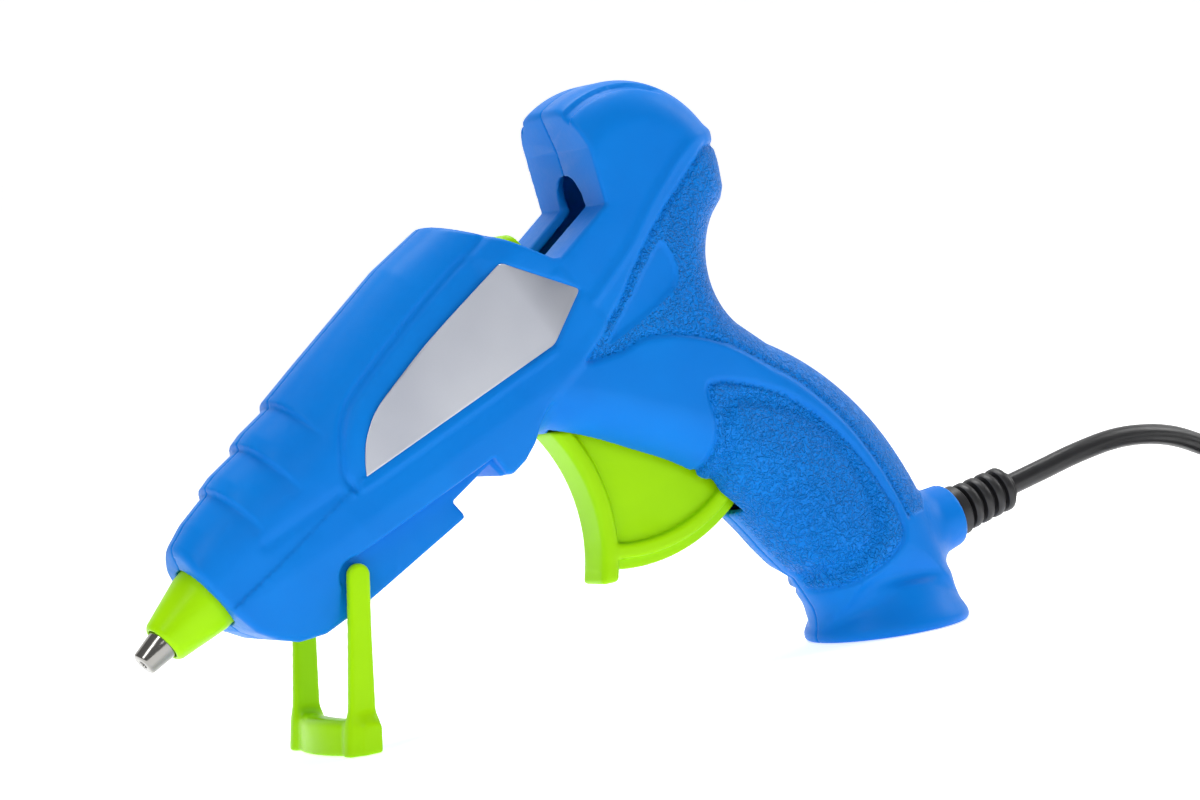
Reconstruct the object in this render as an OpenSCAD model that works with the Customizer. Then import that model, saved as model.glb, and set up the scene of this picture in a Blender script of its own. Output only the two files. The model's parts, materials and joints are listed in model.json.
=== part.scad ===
// Hot glue gun for 11 mm sticks, standing on its fold-out stand and handle foot.
// Millimetres, +Z up. The nozzle points to -X and the cord leaves to +X.

/* [Barrel] */
// Height of the glue-stick axis where it meets the front of the feed hump
axis_z = 118; // [116:0.5:120]
// Nose-down tilt of the glue-stick axis, in degrees
axis_tilt = 35; // [34:0.5:36]
// Half width of the barrel
barrel_half_w = 17.6; // [17:0.1:18]
// Half width of the nose where the nozzle guard leaves it
nose_half_w = 12.5; // [11.5:0.5:13.5]

/* [Glue stick] */
// Radius of the bore that guides a glue stick
stick_r = 6.1; // [5.8:0.1:6.4]

/* [Nozzle] */
// Distance along the axis from the hump front to the nozzle's tip
tip_s = 155.4; // [154:0.2:156]
// Radius of the nozzle's tip
tip_r = 3.0; // [2.5:0.1:3.4]
// Radius of the nozzle's outlet
outlet_r = 1.0; // [0.6:0.1:1.5]
// Radius of the nozzle guard where it leaves the nose
guard_r = 8.4; // [8:0.1:8.8]

/* [Trigger] */
// Pull of the trigger, in degrees
trigger_pull = 20; // [10:1:20]
// Half width of the finger pad
pad_half_w = 5.8; // [5:0.1:6]
// Half width of the web behind the pad
web_half_w = 3.8; // [3:0.1:4.2]

/* [Stand] */
// Half of the outer width across the stand's legs
leg_outer_y = 19.4; // [19:0.1:20]
// Width of a leg, seen from the side
leg_w = 5.4; // [4.6:0.2:5.6]
// Height of the cross bar of the stand's foot
foot_bar_h = 7.5; // [6:0.5:8]

/* [Handle foot] */
// Radius of the round foot under the handle
foot_r = 22; // [21:0.5:23]

/* [Mains cord] */
// Diameter of the cord
cord_d = 5.5; // [5:0.1:6]
// Mean radius of the cord's coil
coil_r = 30; // [28:1:32]

/* [Hidden] */

// Gap that makes a cut run past the surface it opens
eps = 0.01;
// Radial clearance of a running fit
fit = 0.05;
// Wall of the two housing shells
wall = 2.4;
// Side outline of the barrel along the stick axis: rear +x, up +z
barrel_bottom = -29.2;
notch = [-78.5, -65];
notch_floor = -24;
steps_s = [117, 104, 91.5];
barrel_top = [[-20, 22], [-49, 23.2], [-80, 21.4]];
nose_face = [[-132.4, 13.6], [-134.2, 8.6], [-134.7, 3], [-134.6, -5], [-133.6, -11.5],
    [-131, -16.5], [-127.6, -20.6], [-124, -23.4], [-120, -24.6]];

// Half sections across the barrel, from the keel up to the crown: [y, up]
barrel_section = [[13, barrel_bottom - 3], [15.6, barrel_bottom], [16.8, -22], [18, -10], [barrel_half_w, -2],
    [17.4, 8.6], [15.8, 11.6], [13.4, 14.6], [11.2, 18], [8, 20.8], [4, 22.8], [0, 23.6]];
chamber_section = [[0, -13.6], [14.6, -13.6], [14.8, 7.6], [12, 12.6], [9.6, 16.2], [6.4, 18.6], [0, 20.6]];
label_y = 17.1;
label_t = 0.25;

// Melting unit: bore, rear neck and the sleeve on it
melt_r = 5.7;
neck_s = 53;
neck_r = 7.2;
sleeve_s = 50.4;
sleeve_r = 8.4;

// Stand
stand_s = 108;
stand_r = -18.3;
stand_lean = 8;
peg_r = 1.9;
leg_t = 3;
keel_y = 13.8;
stand_pivot = on_axis(stand_s, stand_r);
leg_len = stand_pivot[2] / cos(stand_lean);

// Trigger: pivot, drive arm and the arcs of the web about the pivot
pivot = [2, 73];
pivot_s = -pivot[0] * cos(axis_tilt) - (pivot[1] - axis_z) * sin(axis_tilt);
pivot_r = -pivot[0] * sin(axis_tilt) + (pivot[1] - axis_z) * cos(axis_tilt);
pivot_pin_r = 2;
arm_len = 28;
arm_y = [9.9, 12.3];
arm_w = 7.4;
drive_pin_r = 1.5;
drive_pin_s = pivot_s - arm_len * tan(trigger_pull / 2);
drive_pin_z = pivot_r + arm_len;
web_r = 44.6;
rib = [38.2, 41.9];
pad_centre = [-50, 38];
pad_arc = [42, 46.6];

// Hump, handle and waist arcs: centre [x, z] and radius
hump_arc = [11.9, 118.2, 28.4];
back_arc = [6, 3.8, 84.3];
front_arc = [-43.4, -28.4, 96.3];
waist_arc = [51.8, 98.5, 19.4];
foot_x = 71.3;

// Cord boss and strain relief
relief_from = [95, 25.4];
relief_up = 12;
relief_len = 20;
boss_r = 9.2;
cord_from = [relief_from[0] + relief_len * cos(relief_up), 0,
    relief_from[1] + relief_len * sin(relief_up)];

// The model is drawn from the hump front; this moves its box centre to X = 0
tip_chamfer = 0.3;
nose_x = -tip_s * cos(axis_tilt) - (tip_r - tip_chamfer) * sin(axis_tilt);
boss_end_x = relief_from[0] + boss_r * sin(relief_up);
centre_x = (nose_x + boss_end_x) / 2;

// Route of the cord from the strain relief to the top of its coil
cord_route = [cord_from, [125, 0, 31.8], [137, 0, 34.2], [150, 1, 35.8], [162, 3, 35.4],
    [174, 6, 32.6], [186, 10, 27.2], [197, 14, 20.6], [206, 17, 15.4], [213, 18, 12.8]];
coil_at = [214, -12];
coil_floor = 0.7;
coil_rows = 2;
coil_columns = 3;
coil_half_w = coil_columns * cord_d / 2;
coil_h = coil_rows * cord_d;
tie_t = 0.6;

// Plug: a two-pin plug lying on the coil, pins towards -X
plug_at = [221, -36, 18.7];
plug_len = 36;
plug_pin_gap = 18.6;
plug_pin_len = 19;

// Screws that close the housing: [x, z]
screw_spots = [
    at_axis(46, 17.2), at_axis(108, 13.4), at_axis(59.5, -25.2), at_axis(127, -14),
    [21, 103], [50, 63], [66, 11.5]];
screw_head_y = 11.5;
screw_head_t = 2.2;

// Wires beside the trigger's arms, and the cord clamp
wire_y = 13.8;
wire_space_y = 14.9;
clamp_at = [66.5, 21.5];
clamp_screw_y = 5.5;

function on_axis(s, r) = [-s * cos(axis_tilt) - r * sin(axis_tilt), 0,
    axis_z - s * sin(axis_tilt) + r * cos(axis_tilt)];
function at_axis(s, r) = [on_axis(s, r)[0], on_axis(s, r)[2]];
function arc(c, r, from, to, n) =
    [for (i = [0:n]) c + r * [cos(from + (to - from) * i / n), sin(from + (to - from) * i / n)]];
// Rim of a housing edge, from the flank at half width w to the middle: [distance in from the edge, y]
function rim(w) = [[8, w], [3.6, w - 1.8], [1.2, w - 4.8], [0.2, w - 8.8], [0, w - 12]];
function lower(p) = [for (q = p) [q[0], -q[1]]];
function across(p) = [for (i = [len(p) - 1:-1:0]) if (p[i][0] > 0) [-p[i][0], p[i][1]]];
function reversed(p) = [for (i = [len(p) - 1:-1:0]) p[i]];

// Swept tube: rings of m points at each point of a route that runs mostly along x
function unit(v) = v / norm(v);
function heading(p, i) = unit(p[min(i + 1, len(p) - 1)] - p[max(i - 1, 0)]);
function ring(p, i, r, m) =
    let (t = heading(p, i), side = unit(cross([0.01, 0.02, 1], t)), up = cross(t, side))
    [for (k = [0:m - 1]) p[i] + r * (cos(360 * k / m) * side + sin(360 * k / m) * up)];
module swept(p, r, m) {
    n = len(p);
    polyhedron(
        points = [for (i = [0:n - 1]) each ring(p, i, r, m)],
        faces = concat(
            [[for (k = [0:m - 1]) k]],
            [for (i = [0:n - 2], k = [0:m - 1])
                [i * m + k, (i + 1) * m + k, (i + 1) * m + (k + 1) % m, i * m + (k + 1) % m]],
            [[for (k = [m - 1:-1:0]) (n - 1) * m + k]]));
}

// Frames and simple solids
module along_axis() translate([0, 0, axis_z]) rotate([0, -axis_tilt, 0]) children();
module slab(half_w) rotate([90, 0, 0]) linear_extrude(2 * half_w, center = true) children();
module lathe_y(c) translate([c[0], 0, c[1]]) rotate([90, 0, 0]) rotate_extrude($fn = 96) children();
module rod_y(c, r, from, to) translate([c[0], to, c[1]]) rotate([90, 0, 0])
    cylinder(r = r, h = to - from, $fn = 48);
// A round rod along the stick axis, from distance s0 to s1 in front of the hump
module rod_s(s0, s1, r0, r1) translate([-s0, 0, 0]) rotate([0, -90, 0])
    cylinder(r1 = r0, r2 = r1, h = s1 - s0, $fn = 64);
module box_s(s0, s1, half_w, r0, r1) translate([-s1, -half_w, r0]) cube([s1 - s0, 2 * half_w, r1 - r0]);

// ---- Housing, outside ----
module side_outline() {
    step_tops = [for (s = steps_s) 21.4 - (s - 80) * 0.14];
    polygon(concat(barrel_top,
        [for (i = [len(steps_s) - 1:-1:0]) each [[-steps_s[i] + 0.6, step_tops[i]],
            [-steps_s[i], step_tops[i] - 1.3], [-steps_s[i] - 3, step_tops[i] - 1.1]]],
        nose_face,
        [[notch[0] - 1, barrel_bottom], [notch[0], barrel_bottom + 1], [notch[0], notch_floor],
            [notch[1], notch_floor - 0.6], [-64.3, -29.6], [-60.5, -30.4], [-57, -29.6],
            [-50, -26], [-30, -24], [-20, -24]]));
}
module section_bar(from, length) rotate([90, 0, 90]) translate([0, 0, from]) linear_extrude(length) children();
module barrel_outside() {
    intersection() {
        slab(30) side_outline();
        section_bar(-136, 130) polygon(concat(barrel_section, across(barrel_section)));
        linear_extrude(120, center = true) polygon([
            [-136, -nose_half_w], [-120, -15.6], [-100, -17.6], [-84, -20], [0, -20],
            [0, 20], [-84, 20], [-100, 17.6], [-120, 15.6], [-136, nose_half_w]]);
    }
}
// Side outline of the feed hump and handle; the lathed rims lie just inside its arcs
module body_outline() {
    beyond = 1.5;
    polygon(concat(
        [[-40, 117.6], [-17, 106.6], [-13.6, 105.8], [-11.6, 106.6], [0.6, 117.2], [-1.5, 131], [-4.2, 138.6]],
        arc([hump_arc[0], hump_arc[1]], hump_arc[2] + beyond, 122, -20, 12),
        arc([waist_arc[0], waist_arc[1]], waist_arc[2] - beyond, 150, 225, 8),
        arc([back_arc[0], back_arc[1]], back_arc[2] + beyond, 62, 8, 10),
        [[88, 6], [51.5, 6], [49.5, 12], [46, 18.5]],
        arc([front_arc[0], front_arc[1]], front_arc[2] - beyond, 33, 76, 8),
        [[-24.5, 63.2], [-29, 60.6], [-33, 57.2], [-62, 66], [-76, 96]]));
}
// A disc with a rounded outer rim, and a wide hole with rounded inner edges
module rounded_disc(c, w) lathe_y(c) {
    edge = [for (q = rim(w)) [c[2] - q[0], q[1]]];
    polygon(concat([[0, -w]], lower(edge), reversed(edge), [[0, w]]));
}
module rounded_hole(c, w) lathe_y(c) {
    edge = [for (q = rim(w)) [c[2] + q[0], q[1]]];
    polygon(concat([[0, -30], [c[2] + 8, -30]], lower(edge), reversed(edge),
        [[c[2] + 8, 30], [0, 30]]));
}
module handle_round() difference() {
    rounded_disc(back_arc, 17.2);
    rounded_hole(front_arc, 17.2);
}
module hump_round() {
    rounded_disc(hump_arc, 17.6);
    difference() {
        slab(17.6) polygon([[-34, 60], [40, 60], [40, 104], [30, 110], [30, 118], [-34, 118]]);
        rounded_hole(waist_arc, 17.6);
        rounded_hole(front_arc, 17.6);
    }
}
module foot_outside() {
    hull() {
        translate([65, 0, 23]) scale([19.5, 16.2, 1]) cylinder(r = 1, h = 0.2, $fn = 32);
        translate([foot_x - 0.5, 0, 9]) cylinder(r = 19.6, h = 0.2, $fn = 32);
    }
    translate([foot_x, 0, 0]) rotate_extrude($fn = 96)
        polygon([[0, 0], [foot_r - 1.2, 0], [foot_r - 0.3, 0.6], [foot_r, 1.8], [foot_r - 0.5, 4],
            [foot_r - 1.6, 6.4], [foot_r - 2.4, 9.2], [0, 9.2]]);
}
module along_cord() translate([relief_from[0], 0, relief_from[1]]) rotate([0, 90 - relief_up, 0]) children();
module cord_boss_outside() along_cord() translate([0, 0, -18]) cylinder(r1 = 10.4, r2 = boss_r, h = 18, $fn = 48);
module outside() {
    along_axis() barrel_outside();
    intersection() {
        slab(20) body_outline();
        union() {
            hump_round();
            handle_round();
        }
    }
    foot_outside();
    cord_boss_outside();
}

// ---- Housing, inside ----
module chamber_space() {
    intersection() {
        section_bar(-112, 72) polygon(concat(chamber_section, across(chamber_section)));
        slab(20) polygon([[-112, -20], [-112, 13.8], [-80, 18.4], [-49, 20.3], [-40, 20], [-40, -20]]);
    }
    box_s(80, 112, 10.6, -26.4, -13);
    box_s(112 - eps, 130.8, 10.4, -10.4, 10.4);
    rod_s(130, 133, 10.4, 10.4);
    rod_s(132, 137, guard_r + 0.15, guard_r + 0.15);
    }
module feed_space() {
    box_s(2, 42, 12.9, -36, -6);
    box_s(12, 42, 9.9, -8, 9.2);
    rod_s(-60, 42, stick_r, stick_r);
    box_s(-6, 24, stick_r + 0.4, -1, 20);
    intersection() {
        rod_y([-pivot_s, pivot_r], 42, -12.9, 12.9);
        box_s(4, 46, 14, -48, -8);
    }
}
module handle_space() {
    intersection() {
        difference() {
            rod_y([back_arc[0], back_arc[1]], back_arc[2] - wall - 0.6, -13.8, 13.8);
            rod_y([front_arc[0], front_arc[1]], front_arc[2] + wall + 0.4, -20, 20);
        }
        translate([-18, -20, 22]) cube([98, 40, 80]);
    }
    translate([-30, -wire_space_y, 76]) cube([68, 2 * wire_space_y, 16]);
    rod_y(pivot, 6.8, 0, 14.5);
    translate([57, -8.5, 15]) cube([24, 17, 12]);
}
module trigger_slot() {
    translate([-18, -pad_half_w - 0.5, 50]) cube([44, 2 * pad_half_w + 1, 20]);
    intersection() {
        rod_y(pivot, web_r + 1, -pad_half_w - 0.5, pad_half_w + 0.5);
        translate([-8, -10, 20]) cube([60, 20, 50]);
    }
}
// Channels beside the keel for a leg: round its pivot, along the barrel when folded, and down when it stands
module leg_space(side, inner_y) translate([-stand_s, side > 0 ? inner_y : -inner_y - 12, stand_r]) children();
module stand_recess(side) along_axis() {
    leg_space(side, keel_y) rotate([-90, 0, 0]) cylinder(r = leg_w / 2 + 2, h = 12, $fn = 48);
    leg_space(side, keel_y - 0.3) rotate([0, 101, 0]) translate([-leg_w / 2 - 1.6, 0, 0]) cube([20, 12, 45]);
    leg_space(side, keel_y + 0.3) rotate([0, 180 + axis_tilt - stand_lean, 0])
        translate([-leg_w / 2 - 2, 0, 0]) cube([14, 12, 20]);
}
module screw_holes() {
    for (p = screw_spots) {
        rod_y(p, 1.7, 0, 20);
        rod_y(p, 3.4, screw_head_y - screw_head_t - fit, 30);
        rod_y(p, 1.35, -9, 0.1);
    }
}
module bosses() {
    for (p = screw_spots) {
        rod_y(p, 3.6, -14.4, 10);
        rod_y(p, 4.8, 9.2, 14.4);
    }
    for (side = [-1, 1]) translate([clamp_at[0], side * clamp_screw_y, 14]) cylinder(r = 2.8, h = 4.7, $fn = 32);
    rod_y(pivot, 4.6, 12.7, 15);
    rod_y(pivot, 4.6, -15, -12.7);
}
module shells() {
    difference() {
        outside();
        difference() {
            union() {
                along_axis() chamber_space();
                along_axis() feed_space();
                handle_space();
            }
            along_axis() difference() {
                box_s(56, 58.4, 16, -7.6, 21);
                rod_s(50, 60, sleeve_r + fit, sleeve_r + fit);
            }
            difference() {
                bosses();
                along_axis() rod_s(-60, 60, stick_r + 2.5, stick_r + 2.5);
                along_axis() rod_s(50, 133, 10.4, 10.4);
                along_axis() box_s(111, 131, 10.4, -10.4, 10.4);
            }
        }
        trigger_slot();
        for (side = [-1, 1]) stand_recess(side);
        along_axis() rod_y([-stand_s, stand_r], peg_r + fit, -16, 16);
        rod_y(pivot, pivot_pin_r + fit / 2, -14.6, 14.6);
        for (side = [-1, 1]) translate([clamp_at[0], side * clamp_screw_y, 14]) cylinder(r = 1.3, h = 6, $fn = 24);
        along_cord() translate([0, 0, -30]) cylinder(r = 5.6, h = 40, $fn = 48);
        along_cord() translate([0, 0, -6]) cylinder(r = 7.1, h = 3.2, $fn = 48);
        screw_holes();
        along_axis() for (side = [-1, 1]) translate([0, side * (label_y + 1), 0])
            slab(1) label_outline(0.2);
    }
}
module left_shell() color("#0a84e0") intersection() {
    shells();
    translate([-200, -60, -1]) cube([400, 60, 200]);
}
module right_shell() color("#0a84e0") intersection() {
    shells();
    translate([-200, 0, -1]) cube([400, 60, 200]);
}

// ---- Labels: plain silver plates set into the flanks ----
module label_outline(grow) {
    polygon(concat(
        [[-20 + grow, -10.5 - grow], [-33.6, -15.3 - 1.4 * grow], [-90.4 - 1.2 * grow, -3.8 - grow]],
        [[-90.2 - grow, 0.6 + grow], [-86.4 - grow, 3.2 + grow], [-79, 6 + grow], [-69, 7.5 + grow],
            [-56, 8.1 + grow], [-31 + grow, 8.3 + grow]]));
}
module label(side) color("#c9ccd2") along_axis()
    translate([0, side * (label_y + label_t / 2), 0]) slab(label_t / 2) label_outline(0);
module label_left() label(-1);
module label_right() label(1);

module housing_screws() color("#8f9296") for (p = screw_spots) difference() {
    union() {
        rod_y(p, 2.9, screw_head_y - screw_head_t, screw_head_y);
        rod_y(p, 1.3, -8.5, screw_head_y - 1);
    }
    translate([p[0], screw_head_y, p[1]]) for (a = [0, 90]) rotate([0, a, 0]) cube([3.6, 2.4, 0.8], center = true);
}

// ---- Nozzle end ----
module nozzle_guard() color("#b6e800") along_axis() difference() {
    union() {
        rod_s(131, 132.7, 10, 10);
        rod_s(132.6, 135.6, guard_r, guard_r);
        rod_s(135.6, 148.2, guard_r, 5.6);
        rod_s(148.2, 148.9, 5.6, 4.9);
    }
    rod_s(130, 133.4, 7.6, 7.6);
    rod_s(133.3, 149, 7.2, 4.15);
}
module nozzle() color("#b9b9b6") along_axis() difference() {
    union() {
        rod_s(118.7, 127, 4 - fit, 4 - fit);
        translate([-131, 0, 0]) rotate([0, 90, 0]) cylinder(r = 6.9, h = 4, $fn = 6);
        rod_s(131, 133, 6.2, 6.2);
        rod_s(133, tip_s - 0.4, 6.2, tip_r + 0.1);
        rod_s(tip_s - 0.4, tip_s, tip_r + 0.1, tip_r - tip_chamfer);
    }
    rod_s(118, 138, 2.4, 2.4);
    rod_s(138 - eps, 141, 2.4, outlet_r);
    rod_s(140, 160, outlet_r, outlet_r);
}
module check_ball() color("#c8c8c8") along_axis() translate([-136.2, 0, 0]) sphere(r = 2.1, $fn = 32);
module check_spring() color("#a8a8a8") along_axis() difference() {
    rod_s(120, 133.9, 2.2, 2.2);
    rod_s(119, 135, 1.7, 1.7);
}

// ---- Melting unit ----
module melt_chamber() color("#b4b6b8") along_axis() difference() {
    union() {
        rod_s(62, 127, 9.2, 9.2);
        rod_s(neck_s, 62, neck_r, neck_r);
        box_s(72, 112, 8, -13.2, 0);
    }
    rod_s(51, 100, melt_r, melt_r);
    rod_s(100 - eps, 117, melt_r, 3.2);
    rod_s(116, 118.6, 3.2, 3.2);
    rod_s(118.4, 128, 4, 4);
    box_s(71, 108, 6.2, -12, -9);
}
module heater() color("#d8d2c4") along_axis() box_s(77, 107, 5.8, -11.8, -9.2);
module heater_clip() color("#9a9a9a") along_axis() difference() {
    box_s(84, 100, 9.9, -14.2, 2.5);
    box_s(83, 101, 9.4, -13.4, 3);
}
module front_insulator() color("#e8e4da") along_axis() difference() {
    box_s(120, 126, 10.2, -10.2, 10.2);
    rod_s(119, 127, 9.3, 9.3);
}
module stick_sleeve() color("#c34a32") along_axis() difference() {
    union() {
        rod_s(sleeve_s, 61.6, sleeve_r, sleeve_r);
        rod_s(sleeve_s, sleeve_s + 1.6, sleeve_r + 0.6, sleeve_r + 0.6);
    }
    rod_s(42, neck_s, melt_r + fit, melt_r + fit);
    rod_s(neck_s - 0.1, 62, neck_r + fit, neck_r + fit);
}

// ---- Feed ----
module feed_carriage() color("#b6e800") along_axis() difference() {
    slab(9.4) polygon([[-39, 8.2], [-20, 8.2], [-20, -5.5], [drive_pin_x(), -5.5], [drive_pin_x(), -12.4], [-39, -12.4]]);
    rod_s(0, 60, stick_r, stick_r);
    rod_y([-drive_pin_s, drive_pin_z], drive_pin_r, -20, 20);
    box_s(27, 41, 2.9, -13, 0);
    rod_y([-34, -9.6], 1.2, -8, 8);
}
function drive_pin_x() = -drive_pin_s + 3.2;
module drive_pin() color("#a2a4a6") along_axis() rod_y([-drive_pin_s, drive_pin_z], drive_pin_r, -12.2, 12.2);
module grip_jaw() color("#8c8e90") along_axis() difference() {
    slab(2.6) polygon([[-37.2, -11.6], [-30.6, -11.6], [-29, -9], [-29.6, -6.5], [-31, -6.5], [-31.8, -7.1],
        [-32.6, -6.5], [-33.4, -7.1], [-34.2, -6.5], [-37.2, -8]]);
    rod_y([-34, -9.6], 1.2 + fit, -8, 8);
}
module jaw_pin() color("#a2a4a6") along_axis() rod_y([-34, -9.6], 1.2, -8, 8);

// ---- Trigger ----
module sector(r0, r1, half_w) difference() {
    rod_y(pivot, r1, -half_w, half_w);
    rod_y(pivot, r0, -half_w - 1, half_w + 1);
}
module trigger_arm(side) {
    mid = side * (arm_y[0] + arm_y[1]) / 2;
    t = arm_y[1] - arm_y[0];
    along_axis() translate([-pivot_s, mid, pivot_r]) rotate([0, trigger_pull / 2, 0]) difference() {
        union() {
            translate([-arm_w / 2, -t / 2, 0]) cube([arm_w, t, arm_len]);
            translate([0, t / 2, arm_len]) rotate([90, 0, 0]) cylinder(r = arm_w / 2, h = t, $fn = 48);
        }
        translate([-drive_pin_r - 0.2, -t, arm_len - 1.8]) cube([2 * drive_pin_r + 0.4, 2 * t, 4]);
    }
}
module finger_pad() intersection() {
    difference() {
        rod_y(pad_centre, pad_arc[1], -pad_half_w, pad_half_w);
        rod_y(pad_centre, pad_arc[0], -20, 20);
    }
    translate([-24, -10, 27]) cube([24, 20, 38]);
}
module trigger() color("#b6e800") difference() {
    union() {
        finger_pad();
        intersection() {
            rod_y(pivot, web_r, -web_half_w, web_half_w);
            translate([0, -10, 0]) slab(20) polygon([[-9, 27], [60, 27], [60, 47], [12, 70], [-14, 66], [-5.5, 44]]);
        }
        intersection() {
            sector(rib[0], rib[1], pad_half_w);
            slab(20) polygon([[-7, 27], [60, 27], [60, 46], [10, 46], [-5, 46]]);
        }
        rod_y(pivot, 6.4, -arm_y[1], arm_y[1]);
        for (side = [-1, 1]) trigger_arm(side);
    }
    rod_y(pivot, pivot_pin_r + fit, -20, 20);
}
module trigger_pin() color("#a2a4a6") rod_y(pivot, pivot_pin_r, -14.5, 14.5);
module return_spring() color("#8a8c8e") difference() {
    union() {
        rod_y(pivot, 6.2, 12.9 - 0.2, 14.2);
        translate([pivot[0], 13.2, pivot[1] + 5]) cube([14, 0.8, 0.8]);
    }
    rod_y(pivot, 5.0, 10, 16);
}

// ---- Stand: drawn upright from its pivot, then leaned and placed ----
module stand_leg(side) {
    y = side * (leg_outer_y - leg_t / 2);
    rod_y([0, 0], leg_w / 2, y - leg_t / 2, y + leg_t / 2);
    translate([-leg_w / 2, y - leg_t / 2, -leg_len + 3]) cube([leg_w, leg_t, leg_len - 3]);
    rod_y([0, 0], peg_r, side > 0 ? 12.6 : -leg_outer_y, side > 0 ? leg_outer_y : -12.6);
}
module stand() color("#b6e800") intersection() {
    translate([stand_pivot[0], 0, stand_pivot[2]]) rotate([0, stand_lean, 0]) {
        for (side = [-1, 1]) stand_leg(side);
        translate([0, 0, -leg_len - 1]) difference() {
            intersection() {
                translate([-7, -20.4, 0]) cube([10, 40.8, foot_bar_h + 1]);
                translate([40, 0, 0]) cylinder(r = 45.6, h = 20, $fn = 160);
            }
            translate([33.9, 0, -1]) cylinder(r = 35.4, h = 20, $fn = 120);
        }
    }
    translate([-110, -30, 0]) cube([60, 60, 60]);
}

// ---- Wiring and cord grip ----
function wire(side) = concat(
    [for (q = [[86, 1.1, 23.5], [76, 1.3, 24.4], [66, 2, 26.2], [58, 7, 36], [50, 11.5, 50], [38, 12.6, 64],
        [24, 12.6, 75], [14, wire_y, 83], [2, wire_y, 86], [-12, wire_y, 86.5]]) [q[0], side * q[1], q[2]]],
    [for (q = [[42, 13, -11.6], [52, 11.8, -11.2], [62, 8.4, -11]]) on_axis(q[0], q[2]) + [0, side * q[1], 0]]);
module mains_wires() color("#7d4b2a") for (side = [-1, 1]) swept(wire(side), 0.9, 8);
module wire_connectors() color("#c9b27a") for (side = [-1, 1])
    along_axis() translate([-62.3, side * 8.4, -11]) rotate([0, -90, 0]) rotate([side * 31, 0, 0]) cylinder(r = 1.1, h = 10, $fn = 16);
module cord_clamp() color("#2a2a2c") translate([clamp_at[0], 0, clamp_at[1]]) difference() {
    cube([5, 16, 5], center = true);
    for (side = [-1, 1]) translate([0, side * clamp_screw_y, 0]) cylinder(r = 1.3, h = 10, center = true, $fn = 24);
}
module clamp_screws() color("#8f9296") translate([clamp_at[0], 0, clamp_at[1]]) for (side = [-1, 1]) translate([0, side * clamp_screw_y, 0]) {
    translate([0, 0, -6.5]) cylinder(r = 1.25, h = 9.1, $fn = 24);
    translate([0, 0, 2.55]) cylinder(r = 2.2, h = 1.5, $fn = 24);
}

// ---- Cord ----
module strain_relief() color("#1c1c1e") along_cord() difference() {
    rotate_extrude($fn = 48) polygon([[0, -8], [5.5, -8], [5.5, -6], [6.9, -6], [6.9, -3], [5.5, -3], [5.5, 0.1],
        [6.7, 0.1], [6.7, 3.4], [5.9, 4], [5.9, 17.4], [4.9, 19.2], [3, relief_len], [0, relief_len]]);
    translate([0, 0, -9]) cylinder(r = 2.2, h = 12, $fn = 24);
}
module cord_tube() color("#2a2a2c") swept(cord_route, cord_d / 2, 8);
module coil_ring(grow) translate([coil_at[0], coil_at[1], 0]) rotate_extrude($fn = 96)
    translate([coil_r - coil_half_w - grow, coil_floor - grow]) square([2 * (coil_half_w + grow), coil_h + 2 * grow]);
module cord_coil() color("#2a2a2c") coil_ring(0);
module cord_tie() color("#1c1c1e") intersection() {
    difference() {
        coil_ring(tie_t);
        coil_ring(0.05);
    }
    translate([coil_at[0], coil_at[1], 0]) rotate([0, 0, 60]) translate([0, -3, 0]) cube([60, 6, 30]);
}
module along_plug() translate(plug_at) rotate([0, -90, 0]) children();
module plug() color("#1c1c1e") along_plug() {
    hull() for (side = [-1, 1]) translate([0, side * 6, 12]) cylinder(r1 = 6, r2 = 6.9, h = plug_len - 12, $fn = 32);
    hull() {
        for (side = [-1, 1]) translate([0, side * 6, 12.1]) cylinder(r = 6, h = 0.1, $fn = 32);
        cylinder(r = 3.6, h = 0.1, $fn = 32);
    }
}
module plug_pins() color("#c2c4c6") along_plug() for (side = [-1, 1])
    translate([0, side * plug_pin_gap / 2, plug_len]) {
        cylinder(r = 2, h = plug_pin_len - 0.8, $fn = 32);
        translate([0, 0, plug_pin_len - 0.8]) cylinder(r1 = 2, r2 = 1.2, h = 0.8, $fn = 32);
    }

module placed() translate([-centre_x, 0, 0]) children();
placed() {
    left_shell();
    right_shell();
    label_left();
    label_right();
    housing_screws();
    nozzle_guard();
    nozzle();
    check_ball();
    check_spring();
    melt_chamber();
    heater();
    heater_clip();
    front_insulator();
    stick_sleeve();
    feed_carriage();
    drive_pin();
    grip_jaw();
    jaw_pin();
    trigger();
    trigger_pin();
    return_spring();
    stand();
    mains_wires();
    wire_connectors();
    cord_clamp();
    clamp_screws();
    strain_relief();
    cord_tube();
    cord_coil();
    cord_tie();
    plug();
    plug_pins();
}
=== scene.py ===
"""Hot glue gun on its stand: the looks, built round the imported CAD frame.

Shapes are drawn in millimetres, with x = 0 at the front of the hump and z = 0 on the floor. make_mesh and
make_cord place them in the row frame.
"""

import json
import math

import bpy
import numpy as np
from mathutils import Matrix, Vector


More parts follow.
